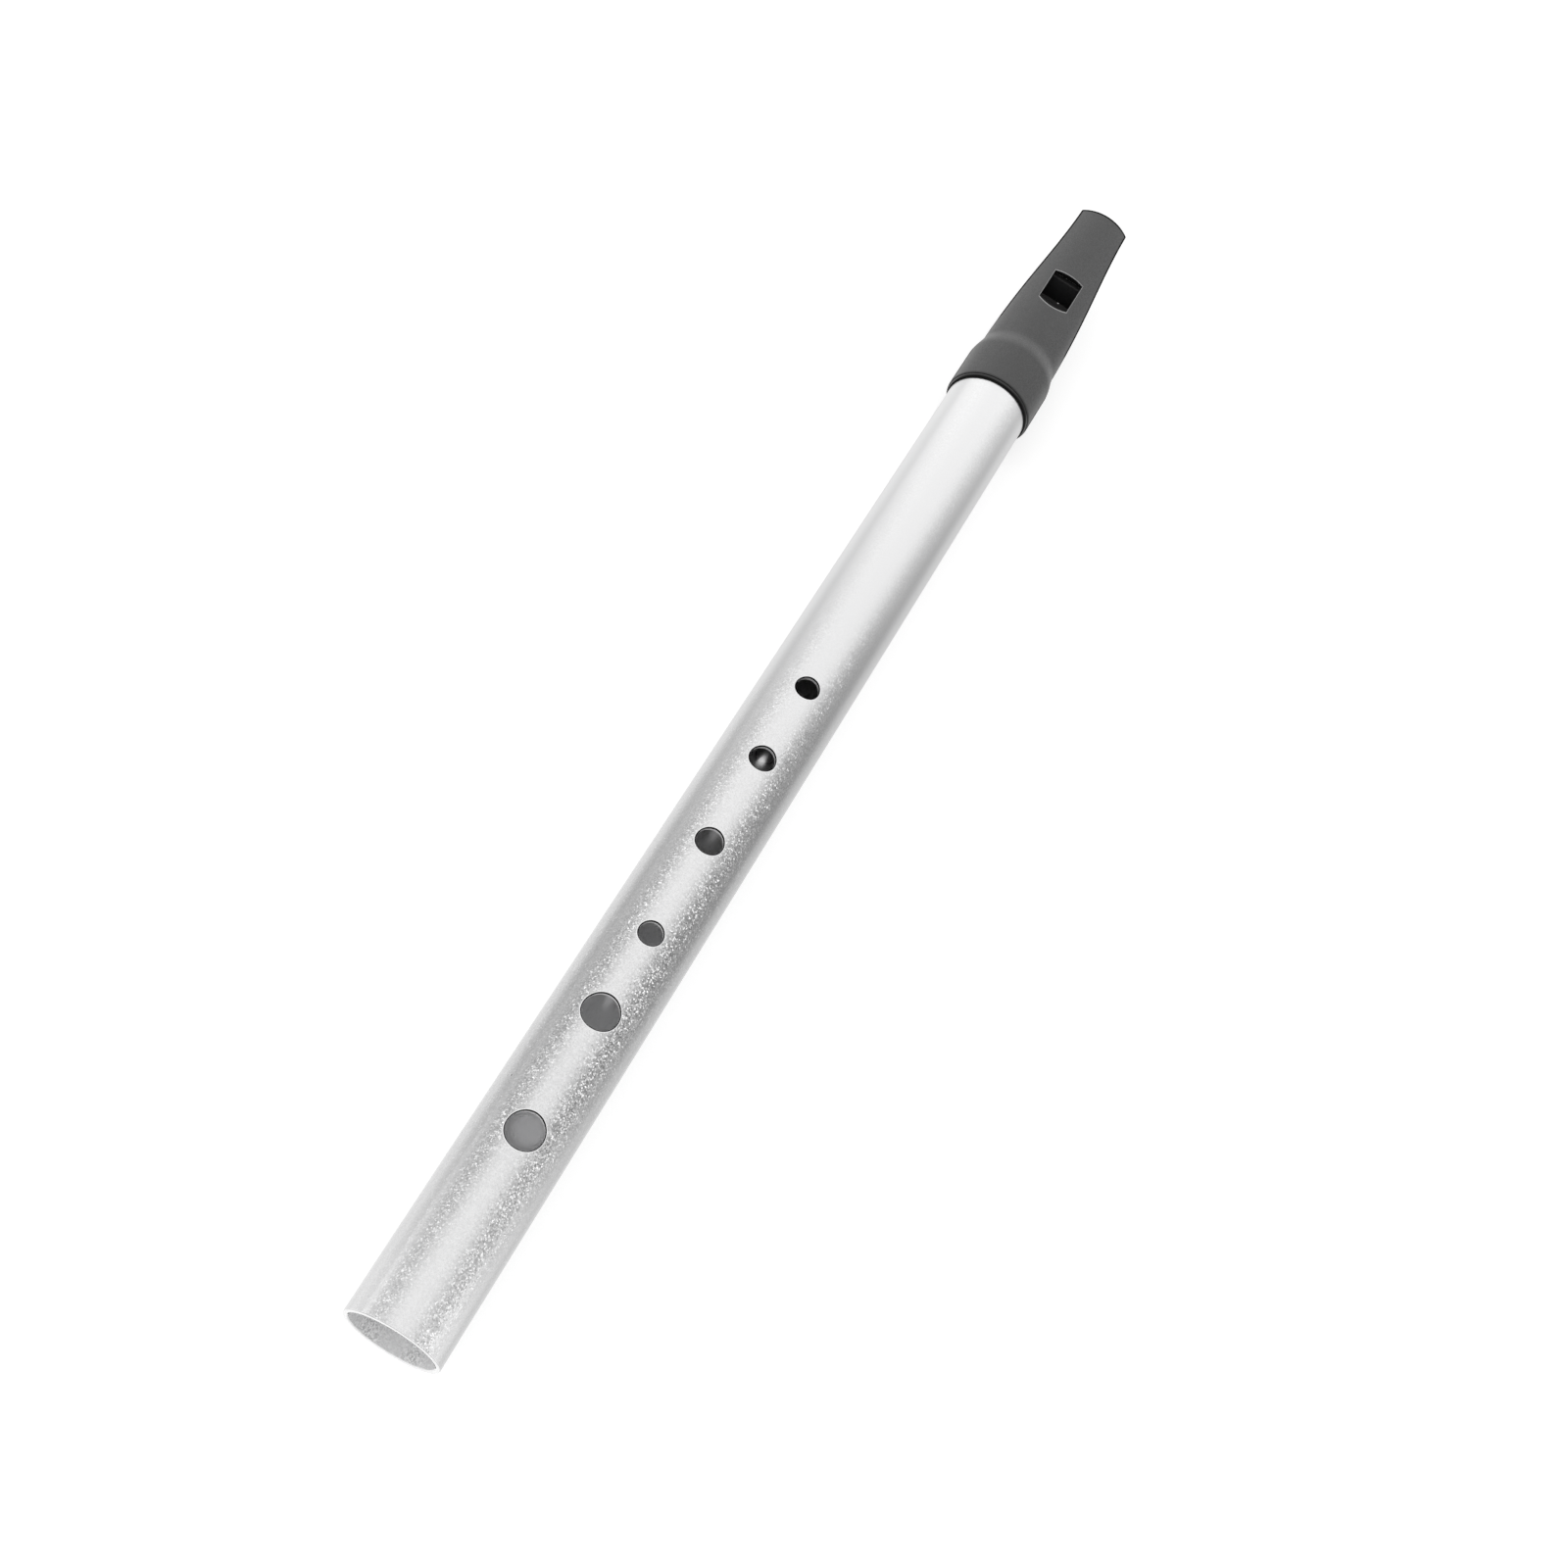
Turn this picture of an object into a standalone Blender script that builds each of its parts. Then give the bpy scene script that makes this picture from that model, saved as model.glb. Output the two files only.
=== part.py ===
"""Tin whistle in D: a plain aluminium tube with six finger holes, and a moulded fipple head that slides and turns on it.

Metres, +Z up. The whistle lies along X with its finger holes and window facing +Z. The origin is on the tube's axis,
halfway between the foot and the mouth end. Every "station" below is a distance from the foot, in millimetres.
"""

import math

import bmesh
import bpy

MM = 0.001

# Overall
OVERALL_LENGTH = 292.7      # foot to mouth end
SEGMENTS = 72               # facets round every turned piece

# Body tube: 18 x 1 mm drawn tube
TUBE_RADIUS = 9.0
TUBE_BORE_RADIUS = 8.0
TUBE_LENGTH = 241.0
TUBE_EDGE_BREAK = 0.15      # chamfer on all four end edges
# station of the hole's centre, hole diameter, counted from the foot
FINGER_HOLES = (
    (37.5, 6.8),
    (62.0, 6.8),
    (79.2, 4.6),
    (100.7, 5.3),
    (121.2, 5.1),
    (139.6, 4.7),
)
HOLE_SEGMENTS = 40

# Tuning sleeve: thin liner between tube and socket, with a rounded lip at the socket's mouth
RUNNING_FIT = 0.08          # radial clearance, tube to sleeve and sleeve to socket
SLEEVE_BORE_RADIUS = TUBE_RADIUS + RUNNING_FIT
SLEEVE_RADIUS = 9.33
SLEEVE_START = 230.75
SLEEVE_END = 242.1
LIP_RADIUS = 9.47
LIP_WIDTH = 0.95

# Head shell
SOCKET_MOUTH = 231.85
SOCKET_BORE_RADIUS = SLEEVE_RADIUS + RUNNING_FIT
SOCKET_RADIUS = 9.74
SOCKET_STOP = 242.6         # shoulder inside the socket that the tube's end meets
SHOULDER_START = 242.4
SHOULDER_END = 247.8
NECK_RADIUS = 8.95          # the neck's and the beak's top is one straight cylinder
NECK_HALF_WIDTH = 8.77
BEAK_TAPER_START = 246.6
BEAK_TAPER_END = 295.2      # the taper's flat end lies just past the mouth
TIP_HALF_WIDTH = 5.90
SCOOP_START = 254.0         # underside of the beak, a hollow sweep up to the tip
TIP_UNDERSIDE = 2.6         # height of the tip's underside above the axis
WALL = 1.25
FLOOR = 1.3

# Voicing
CHAMBER_RADIUS = 7.7
ROOF_UNDERSIDE = 7.0        # flat underside behind the blade
WINDOW_HALF_WIDTH = 3.5
RAMP_START = 258.8          # where the ramp leaves the outer surface, on the centre line
BLADE_EDGE = 262.8
BLADE_HEIGHT = 7.1          # height of the blade's edge above the axis
WINDWAY_EXIT = 270.0
WINDWAY_ROOF = 7.5
WINDWAY_FLOOR = 6.5

# Fipple block
BLOCK_GAP = 0.15            # all round, between the block and its pocket
BLOCK_RECESS = 0.25         # its end sits just inside the mouth end


def world_x(station):
    """Distance from the foot, in mm, to the world X coordinate, in metres."""
    return (station - OVERALL_LENGTH / 2) * MM


def ease(x, x0, x1, a, b):
    """Half a cosine wave from a at x0 to b at x1, level on both sides."""
    t = min(1.0, max(0.0, (x - x0) / (x1 - x0)))
    return a + (b - a) * (1 - math.cos(math.pi * t)) / 2


def outer_radius(x):
    return ease(x, SHOULDER_START, SHOULDER_END, SOCKET_RADIUS, NECK_RADIUS)


def half_width(x):
    """Half the head's width in plan."""
    if x < SHOULDER_END:
        shoulder = ease(x, SHOULDER_START, SHOULDER_END, SOCKET_RADIUS + 0.2, NECK_HALF_WIDTH)
    else:
        shoulder = NECK_HALF_WIDTH
    return min(shoulder, ease(x, BEAK_TAPER_START, BEAK_TAPER_END, shoulder, TIP_HALF_WIDTH))


def underside(x):
    """Height of the beak's underside."""
    t = min(1.0, max(0.0, (x - SCOOP_START) / (OVERALL_LENGTH - SCOOP_START)))
    return -NECK_RADIUS + (TIP_UNDERSIDE + NECK_RADIUS) * (1 - (1 - t) ** 2)


def spaced(a, b, n):
    return [a + (b - a) * i / n for i in range(n + 1)]


# ---------------------------------------------------------------- scene and helpers

for old in list(bpy.data.objects):
    bpy.data.objects.remove(old, do_unlink=True)

parts = bpy.data.collections.new("tin_whistle")
cutters = bpy.data.collections.new("tin_whistle_cutters")
bpy.context.scene.collection.children.link(parts)
bpy.context.scene.collection.children.link(cutters)


def material(name, colour, roughness, metallic):
    m = bpy.data.materials.new(name)
    m.use_nodes = True
    shader = m.node_tree.nodes["Principled BSDF"]
    shader.inputs["Base Color"].default_value = (*colour, 1.0)
    shader.inputs["Roughness"].default_value = roughness
    shader.inputs["Metallic"].default_value = metallic
    m.diffuse_color = (*colour, 1.0)
    return m


def as_cutter(ob):
    ob.hide_render = True
    ob.display_type = "WIRE"
    return ob


def turned(name, profile, collection, closed):
    """A profile of (station, radius) points, given from the mouth side down to the foot side on its outer side, turned about the tube's axis."""
    mesh = bpy.data.meshes.new(name)
    bm = bmesh.new()
    verts = [bm.verts.new((r * MM, 0.0, world_x(s))) for s, r in profile]
    for a, b in zip(verts, verts[1:]):
        bm.edges.new((a, b))
    if closed:
        bm.edges.new((verts[-1], verts[0]))
    bm.to_mesh(mesh)
    bm.free()
    ob = bpy.data.objects.new(name, mesh)
    collection.objects.link(ob)
    ob.rotation_euler = (0.0, math.pi / 2, 0.0)
    screw = ob.modifiers.new("turn", "SCREW")
    screw.angle = 2 * math.pi
    screw.steps = SEGMENTS
    screw.render_steps = SEGMENTS
    screw.use_merge_vertices = True
    screw.merge_threshold = 0.00001
    screw.use_smooth_shade = True
    return ob


def rod(name, radius, start, end, collection, segments=SEGMENTS):
    """A solid cylinder on the tube's axis."""
    mesh = bpy.data.meshes.new(name)
    bm = bmesh.new()
    bmesh.ops.create_cone(
        bm, cap_ends=True, segments=segments, radius1=radius * MM, radius2=radius * MM, depth=(end - start) * MM
    )
    bm.to_mesh(mesh)
    bm.free()
    ob = bpy.data.objects.new(name, mesh)
    collection.objects.link(ob)
    ob.location = ((world_x(start) + world_x(end)) / 2, 0.0, 0.0)
    ob.rotation_euler = (0.0, math.pi / 2, 0.0)
    return ob


def prism(name, outline, half_depth, plan, collection):
    """A flat outline of (station, across) points given depth both ways. plan: across is Y and the depth runs along Z. Otherwise across is Z and the depth runs along Y."""
    curve = bpy.data.curves.new(name + "_outline", "CURVE")
    curve.dimensions = "2D"
    curve.fill_mode = "BOTH"
    curve.extrude = half_depth * MM
    spline = curve.splines.new("POLY")
    spline.points.add(len(outline) - 1)
    for point, (s, across) in zip(spline.points, outline):
        point.co = (world_x(s), across * MM, 0.0, 1.0)
    spline.use_cyclic_u = True
    flat = bpy.data.objects.new(name + "_outline", curve)
    collection.objects.link(flat)
    if not plan:
        flat.rotation_euler = (math.pi / 2, 0.0, 0.0)
    bpy.context.view_layer.update()
    evaluated = flat.evaluated_get(bpy.context.evaluated_depsgraph_get())
    mesh = bpy.data.meshes.new_from_object(evaluated)
    mesh.name = name
    bm = bmesh.new()
    bm.from_mesh(mesh)
    bmesh.ops.remove_doubles(bm, verts=bm.verts, dist=0.000001)
    bmesh.ops.recalc_face_normals(bm, faces=bm.faces)
    bm.to_mesh(mesh)
    bm.free()
    ob = bpy.data.objects.new(name, mesh)
    collection.objects.link(ob)
    ob.matrix_world = flat.matrix_world.copy()
    bpy.data.objects.remove(flat, do_unlink=True)
    return ob


def boolean(ob, tool, operation):
    m = ob.modifiers.new(operation.lower() + "_" + tool.name, "BOOLEAN")
    m.operation = operation
    m.solver = "EXACT"
    m.object = tool
    return m


def smooth(ob, degrees=35.0):
    ob.data.shade_smooth()
    ob.data.set_sharp_from_angle(angle=math.radians(degrees))


# ---------------------------------------------------------------- joint axes

slide_axis = bpy.data.objects.new("tuning_slide_axis", None)
slide_axis.empty_display_size = 0.01
slide_axis.location = (world_x(SOCKET_MOUTH), 0.0, 0.0)
parts.objects.link(slide_axis)
swivel_axis = bpy.data.objects.new("head_swivel_axis", None)
swivel_axis.empty_display_size = 0.008
swivel_axis.parent = slide_axis
parts.objects.link(swivel_axis)
bpy.context.view_layer.update()


def hang(ob, empty):
    """Parents a placed piece to a joint's empty without moving it."""
    bpy.context.view_layer.update()
    placed = ob.matrix_world.copy()
    ob.parent = empty
    ob.matrix_parent_inverse = empty.matrix_world.inverted()
    ob.matrix_world = placed


# ---------------------------------------------------------------- body tube

e = TUBE_EDGE_BREAK
body_tube = turned(
    "body_tube",
    [
        (TUBE_LENGTH, TUBE_RADIUS - e),
        (TUBE_LENGTH - e, TUBE_RADIUS),
        (e, TUBE_RADIUS),
        (0.0, TUBE_RADIUS - e),
        (0.0, TUBE_BORE_RADIUS + e),
        (e, TUBE_BORE_RADIUS),
        (TUBE_LENGTH - e, TUBE_BORE_RADIUS),
        (TUBE_LENGTH, TUBE_BORE_RADIUS + e),
    ],
    parts,
    closed=True,
)
for number, (station, diameter) in enumerate(FINGER_HOLES):
    mesh = bpy.data.meshes.new(f"finger_hole_cutter_{number + 1}")
    bm = bmesh.new()
    bmesh.ops.create_cone(
        bm, cap_ends=True, segments=HOLE_SEGMENTS, radius1=diameter / 2 * MM, radius2=diameter / 2 * MM, depth=8 * MM
    )
    bm.to_mesh(mesh)
    bm.free()
    drill = bpy.data.objects.new(mesh.name, mesh)
    cutters.objects.link(as_cutter(drill))
    drill.location = (world_x(station), 0.0, TUBE_RADIUS * MM)
    boolean(body_tube, drill, "DIFFERENCE")
smooth(body_tube)
body_tube.data.materials.append(material("blasted_aluminium", (0.78, 0.78, 0.79), 0.42, 1.0))

# ---------------------------------------------------------------- tuning sleeve

lip_back = SLEEVE_START + LIP_WIDTH
lip_turn = [math.radians(a) for a in (65, 40, 15)]
lip_nose = [
    (
        SLEEVE_START + 0.35 - 0.35 * math.sin(math.pi / 2 - a) * 1.0,
        LIP_RADIUS - 0.30 + 0.30 * math.sin(a),
    )
    for a in lip_turn
]
tuning_sleeve = turned(
    "tuning_sleeve",
    [
        (SLEEVE_END, SLEEVE_RADIUS),
        (lip_back + 0.02, SLEEVE_RADIUS),
        (lip_back, LIP_RADIUS - 0.04),
        (lip_back - 0.12, LIP_RADIUS),
        (SLEEVE_START + 0.40, LIP_RADIUS),
        *lip_nose,
        (SLEEVE_START, SLEEVE_BORE_RADIUS),
        (SLEEVE_END, SLEEVE_BORE_RADIUS),
    ],
    parts,
    closed=True,
)
smooth(tuning_sleeve)
tuning_sleeve.data.materials.append(material("gloss_black", (0.012, 0.012, 0.013), 0.18, 0.0))
hang(tuning_sleeve, slide_axis)

# ---------------------------------------------------------------- head shell

# Outer form: a turned blank, narrowed in plan and scooped from below.
head_shell = turned(
    "head_shell",
    [(OVERALL_LENGTH, 0.0), (OVERALL_LENGTH, NECK_RADIUS)]
    + [(s, outer_radius(s)) for s in reversed(spaced(SHOULDER_START, SHOULDER_END, 8))]
    + [
        (SOCKET_MOUTH + 0.50, SOCKET_RADIUS),
        (SOCKET_MOUTH + 0.18, SOCKET_RADIUS - 0.08),
        (SOCKET_MOUTH, SOCKET_RADIUS - 0.24),
        (SOCKET_MOUTH, 0.0),
    ],
    parts,
    closed=False,
)

far = OVERALL_LENGTH + 6
near = SOCKET_MOUTH - 6
plan_line = spaced(SHOULDER_START, SHOULDER_END, 6)[:-1] + spaced(SHOULDER_END, far, 26)
plan_blank = prism(
    "beak_plan_cutter",
    [(near, -half_width(near))]
    + [(s, -half_width(s)) for s in plan_line]
    + [(s, half_width(s)) for s in reversed(plan_line)]
    + [(near, half_width(near))],
    15,
    True,
    cutters,
)
scoop_line = spaced(SCOOP_START, OVERALL_LENGTH, 20)
side_blank = prism(
    "beak_side_cutter",
    [(near, -14), (SCOOP_START - 0.5, -14)]
    + [(s, underside(s)) for s in scoop_line]
    + [(far, TIP_UNDERSIDE), (far, 14), (near, 14)],
    15,
    False,
    cutters,
)
boolean(head_shell, as_cutter(plan_blank), "INTERSECT")
boolean(head_shell, as_cutter(side_blank), "INTERSECT")

socket_bore = rod("socket_bore_cutter", SOCKET_BORE_RADIUS, near, SOCKET_STOP, cutters)
boolean(head_shell, as_cutter(socket_bore), "DIFFERENCE")


def inner_plan(name, inset, start):
    """The head's plan outline, moved inwards."""
    line = [s for s in plan_line if s > start]
    return prism(
        name,
        [(start, -half_width(start) + inset)]
        + [(s, -half_width(s) + inset) for s in line]
        + [(s, half_width(s) - inset) for s in reversed(line)]
        + [(start, half_width(start) - inset)],
        15,
        True,
        cutters,
    )


# Chamber and block pocket: the bore carried on into the beak, inside an even wall.
chamber = rod("chamber_cutter", CHAMBER_RADIUS, SOCKET_STOP - 2, far - 2, cutters)
chamber_plan = inner_plan("chamber_plan_cutter", WALL, SOCKET_STOP - 4)
chamber_side = prism(
    "chamber_side_cutter",
    [(SOCKET_STOP - 4, -12), (SCOOP_START - 0.5, -12)]
    + [(s, underside(s) + FLOOR) for s in scoop_line]
    + [
        (far, TIP_UNDERSIDE + FLOOR),
        (far, WINDWAY_FLOOR),
        (WINDWAY_EXIT, WINDWAY_FLOOR),
        (WINDWAY_EXIT, ROOF_UNDERSIDE),
        (255.0, ROOF_UNDERSIDE),
        (249.0, 9.0),
        (SOCKET_STOP - 4, 9.0),
    ],
    15,
    False,
    cutters,
)
boolean(chamber, as_cutter(chamber_plan), "INTERSECT")
boolean(chamber, as_cutter(chamber_side), "INTERSECT")
boolean(head_shell, as_cutter(chamber), "DIFFERENCE")

# Windway, window and ramp are one cut of constant width.
ramp_slope = (NECK_RADIUS - BLADE_HEIGHT) / (BLADE_EDGE - RAMP_START)
ramp_top = 3.0
voicing = prism(
    "voicing_cutter",
    [
        (far, WINDWAY_ROOF),
        (far, WINDWAY_FLOOR - 0.5),
        (BLADE_EDGE, WINDWAY_FLOOR - 0.5),
        (BLADE_EDGE, BLADE_HEIGHT),
        (RAMP_START - ramp_top / ramp_slope, NECK_RADIUS + ramp_top),
        (WINDWAY_EXIT, NECK_RADIUS + ramp_top),
        (WINDWAY_EXIT, WINDWAY_ROOF),
    ],
    WINDOW_HALF_WIDTH,
    False,
    cutters,
)
boolean(head_shell, as_cutter(voicing), "DIFFERENCE")
smooth(head_shell)
head_shell.data.materials.append(material("satin_black_moulding", (0.10, 0.10, 0.10), 0.50, 0.0))
hang(head_shell, swivel_axis)

# ---------------------------------------------------------------- fipple block

fipple_block = rod("fipple_block", CHAMBER_RADIUS - BLOCK_GAP, WINDWAY_EXIT, OVERALL_LENGTH - BLOCK_RECESS, parts)
block_plan = inner_plan("block_plan_cutter", WALL + BLOCK_GAP, WINDWAY_EXIT - 3)
block_side = prism(
    "block_side_cutter",
    [(s, underside(s) + FLOOR + BLOCK_GAP) for s in [WINDWAY_EXIT - 3] + [s for s in scoop_line if s > WINDWAY_EXIT - 2]]
    + [
        (far, TIP_UNDERSIDE + FLOOR + BLOCK_GAP),
        (far, WINDWAY_FLOOR - BLOCK_GAP),
        (WINDWAY_EXIT - 3, WINDWAY_FLOOR - BLOCK_GAP),
    ],
    15,
    False,
    cutters,
)
boolean(fipple_block, as_cutter(block_plan), "INTERSECT")
boolean(fipple_block, as_cutter(block_side), "INTERSECT")
smooth(fipple_block)
fipple_block.data.materials.append(material("black_block", (0.04, 0.04, 0.042), 0.40, 0.0))
hang(fipple_block, swivel_axis)
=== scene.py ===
"""A six-hole whistle: an aluminium tube, a gloss ring and a black moulded head.

It lies along X, foot at the low end and mouth at the high end. The finger holes and the
window face +Z, and Y runs across. The tube's axis is y = z = 0.
Stations are distances in mm from the foot; other piece sizes are in mm too.
"""
import math
from contextlib import contextmanager

import bmesh
import bpy
import numpy as np
from mathutils import Matrix, Vector


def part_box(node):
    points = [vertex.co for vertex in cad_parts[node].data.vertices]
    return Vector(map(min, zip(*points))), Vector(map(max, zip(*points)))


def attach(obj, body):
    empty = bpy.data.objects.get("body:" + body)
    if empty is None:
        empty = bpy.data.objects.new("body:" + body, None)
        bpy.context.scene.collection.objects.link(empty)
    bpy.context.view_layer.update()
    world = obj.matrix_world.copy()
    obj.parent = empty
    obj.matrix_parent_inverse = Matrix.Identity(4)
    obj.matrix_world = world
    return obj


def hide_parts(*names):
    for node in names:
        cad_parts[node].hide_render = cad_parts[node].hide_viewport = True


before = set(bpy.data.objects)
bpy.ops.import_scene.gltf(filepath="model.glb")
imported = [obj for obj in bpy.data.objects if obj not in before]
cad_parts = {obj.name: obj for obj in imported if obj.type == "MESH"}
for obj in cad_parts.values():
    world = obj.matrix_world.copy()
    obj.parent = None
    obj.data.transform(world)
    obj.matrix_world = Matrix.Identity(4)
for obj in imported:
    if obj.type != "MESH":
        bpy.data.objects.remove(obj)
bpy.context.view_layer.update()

MM = 0.001
scene = bpy.context.scene

# ------------------------------------------------------------------ dimensions from the frame
tube_low, tube_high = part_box("body_tube")
sleeve_low, sleeve_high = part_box("tuning_sleeve")
head_low, head_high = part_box("head_shell")
block_low, block_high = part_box("fipple_block")

FOOT_X = tube_low.x                                  # metres


def to_station(x):
    return (x - FOOT_X) / MM


def radius_of(low, high):
    return (high.y - low.y) / 2 / MM


LENGTH = to_station(head_high.x)
TUBE_RADIUS = radius_of(tube_low, tube_high)
TUBE_LENGTH = to_station(tube_high.x)
SLEEVE_START, SLEEVE_END = to_station(sleeve_low.x), to_station(sleeve_high.x)
SLEEVE_LIP_RADIUS = radius_of(sleeve_low, sleeve_high)
HEAD_START = to_station(head_low.x)
SOCKET_RADIUS = radius_of(head_low, head_high)
BLOCK_START, BLOCK_END = to_station(block_low.x), to_station(block_high.x)

# ------------------------------------------------------------------ dimensions of the detail
# tube
BORE_RADIUS = TUBE_RADIUS - 1.0
TUBE_SIDES = 192
TUBE_STEP = 2 * math.pi / TUBE_SIDES
RIM_ROUND = 0.20                                     # rounding of the tube's end edges
RIM_GAP = 0.06                                       # from the rounding to the next ring
# station, radius, half the patch round it in grid steps
HOLES = (
    (37.5, 3.40, 15), (62.0, 3.40, 15), (79.2, 2.30, 11),
    (100.7, 2.65, 12), (121.2, 2.55, 12), (139.6, 2.35, 11),
)
HOLE_FILLET = 0.16
HOLE_RING = 0.16                                     # width of the painted highlight ring round a hole
HOLE_INNER_ROUND = 0.06
PATCH_SHARES = (0.26, 0.5, 0.7, 0.85, 0.95)          # rows from a patch's edge to its circle
WALL_SHARES = (0.25, 0.5, 0.92, 1.0)                 # rows down a hole's wall

# sleeve
SLEEVE_BORE = TUBE_RADIUS + 0.06
SLEEVE_RADIUS = 9.33
SLEEVE_ROUND = 0.06
NOSE_LENGTH = 0.80
LIP_LENGTH = 0.95                                    # nose and crest together

# head
SOCKET_BORE = 9.41
SOCKET_STOP = 242.6
SOCKET_ROUND = 0.26
SHOULDER_START, SHOULDER_END = 242.4, 247.8
NECK_RADIUS = 8.95
NECK_HALF_WIDTH = 8.77
NECK_BEND_START = 252.0                              # cross lines bend from here to the ramp
TAPER_START, TAPER_END = 246.6, 295.2
TIP_HALF_WIDTH = 5.90
SCOOP_START, SCOOP_SOFTNESS = 254.0, 1.3
TIP_Z = 2.6
WALL, FLOOR = 1.25, 1.3
CHAMBER_RADIUS = 7.7
CHAMBER_CORNER = 0.45
WINDOW_HALF = 3.5                                    # half width of window and windway
RAMP_START, BLADE_X, EXIT_X = 258.8, 262.8, 270.0
BLADE_Z, UNDER_Z = 7.1, 7.0
ROOF_Z, SLOT_Z = 7.5, 6.5
RAMP_SLOPE = (NECK_RADIUS - BLADE_Z) / (BLADE_X - RAMP_START)
SOFT_BEVEL, FINE_BEVEL = 0.19, 0.07
BLOCK_GAP, BLOCK_CHAMFER = 0.05, 0.12


def place(station):
    """X in metres of a station."""
    return FOOT_X + station * MM


def ease(x, x_start, x_end, start, end):
    """From start to end along half a cosine wave, level outside x_start to x_end."""
    t = np.clip((x - x_start) / (x_end - x_start), 0, 1)
    return float(start + (end - start) * (1 - np.cos(np.pi * t)) / 2)


def steps(start, length, count):
    """Even steps over a length, without the start."""
    return [start + length * (i + 1) / count for i in range(count)]


def spread(start, end, count):
    return [start] + steps(start, end - start, count)


# ------------------------------------------------------------------ mesh helpers
@contextmanager
def editing(mesh):
    bm = bmesh.new()
    bm.from_mesh(mesh)
    yield bm
    bm.to_mesh(mesh)
    bm.free()


class Shape:
    """Collects points (station, y, z) and faces, each face with a material slot."""

    def __init__(self):
        self.points, self.faces = [], []
        self.slot, self.slots = 0, []

    def paint(self, slot):
        """Faces made from here on get this material slot."""
        self.slots += [self.slot] * (len(self.faces) - len(self.slots))
        self.slot = slot

    def add(self, point):
        self.points.append(tuple(float(value) for value in point))
        return len(self.points) - 1

    def row(self, points):
        return [self.add(p) for p in points]

    def quad(self, *corners):
        """A four-sided face, or a triangle where two neighbouring corners are one point."""
        ids = []
        for corner in corners:
            if not ids or ids[-1] != corner:
                ids.append(corner)
        if ids[0] == ids[-1]:
            ids.pop()
        if len(ids) > 2:
            self.faces.append(ids)

    def strip(self, first, second, closed=True):
        count = len(first)
        for j in range(count if closed else count - 1):
            k = (j + 1) % count
            self.quad(first[j], first[k], second[k], second[j])

    def loft(self, rows, closed=True):
        for first, second in zip(rows, rows[1:]):
            self.strip(first, second, closed)

    def make(self, name, materials=()):
        points = np.asarray(self.points, float)
        points[:, 0] = FOOT_X + points[:, 0] * MM
        points[:, 1:] *= MM
        mesh = bpy.data.meshes.new(name)
        mesh.from_pydata(points.tolist(), [], self.faces)
        mesh.validate()
        mesh.update()
        ob = bpy.data.objects.new(name, mesh)
        scene.collection.objects.link(ob)
        if materials:
            self.paint(self.slot)
            for material in materials:
                mesh.materials.append(material)
            mesh.polygons.foreach_set("material_index", self.slots)
        return ob


def round_ring(station, radius):
    """Points of a circle round the axis, from the top round by +Y."""
    angles = [TUBE_STEP * j for j in range(TUBE_SIDES)]
    return [(station, radius * math.sin(a), radius * math.cos(a)) for a in angles]


def outward(ob):
    """Consistent normals, pointing out."""
    with editing(ob.data) as bm:
        bmesh.ops.recalc_face_normals(bm, faces=bm.faces)
        if bm.calc_volume(signed=True) < 0:
            bmesh.ops.reverse_faces(bm, faces=bm.faces)
    ob.data.update()


def finish_shading(ob, sharp_degrees):
    ob.data.shade_smooth()
    ob.data.set_sharp_from_angle(angle=math.radians(sharp_degrees))
    modifier = ob.modifiers.new("weighted_normals", "WEIGHTED_NORMAL")
    modifier.mode = "FACE_AREA_WITH_ANGLE"
    modifier.weight = 50
    modifier.keep_sharp = True


# ------------------------------------------------------------------ body tube
TUBE_SKIN, TUBE_BORE, TUBE_RIM, HOLE_HIGHLIGHT, TUBE_SHADE = range(5)   # the tube's material slots


def tube_stations():
    """Stations of the rings, and the first and last ring of each hole's patch."""
    cursor = RIM_ROUND + RIM_GAP
    stations, patches = [RIM_ROUND, cursor], []
    for centre, _, reach in HOLES:
        half = reach * TUBE_STEP * TUBE_RADIUS
        lead = centre - half - cursor
        stations += steps(cursor, lead, max(2, int(lead / 3.0)))
        first = len(stations) - 1
        stations += steps(centre - half, 2 * half, 2 * reach)
        patches.append((first, first + 2 * reach))
        cursor = centre + half
    lead = TUBE_LENGTH - RIM_ROUND - RIM_GAP - cursor
    stations += steps(cursor, lead, int(lead / 3.5))
    stations.append(TUBE_LENGTH - RIM_ROUND)
    return stations, patches


def tube_skins(shape, grids, patches):
    """Outer skin and bore, left open at the holes' patches."""
    blocked = set()
    for (first, last), (_, _, reach) in zip(patches, HOLES):
        for i in range(first, last):
            blocked.update((i, j % TUBE_SIDES) for j in range(-reach, reach))
    for grid, slot in zip(grids, (TUBE_SKIN, TUBE_BORE)):
        shape.paint(slot)
        for i in range(len(grid) - 1):
            for j in range(TUBE_SIDES):
                if (i, j) not in blocked:
                    k = (j + 1) % TUBE_SIDES
                    shape.quad(grid[i][j], grid[i][k], grid[i + 1][k], grid[i + 1][j])


def rim_profile(end, inward):
    """(station, radius) from the skin to the bore: a rounded edge, a flat, a rounded edge."""
    def edge(angles, radius, side):
        return [
            (
                end + inward * RIM_ROUND * (1 - math.sin(math.radians(a))),
                radius + side * RIM_ROUND * (1 - math.cos(math.radians(a))),
            )
            for a in angles
        ]

    flat = [(end, TUBE_RADIUS - RIM_ROUND - 0.03), (end, BORE_RADIUS + RIM_ROUND + 0.03)]
    outer_edge = edge(spread(0, 90, 5)[1:], TUBE_RADIUS, -1)
    return outer_edge + flat + edge(spread(90, 0, 5)[:-1], BORE_RADIUS, 1)


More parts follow.
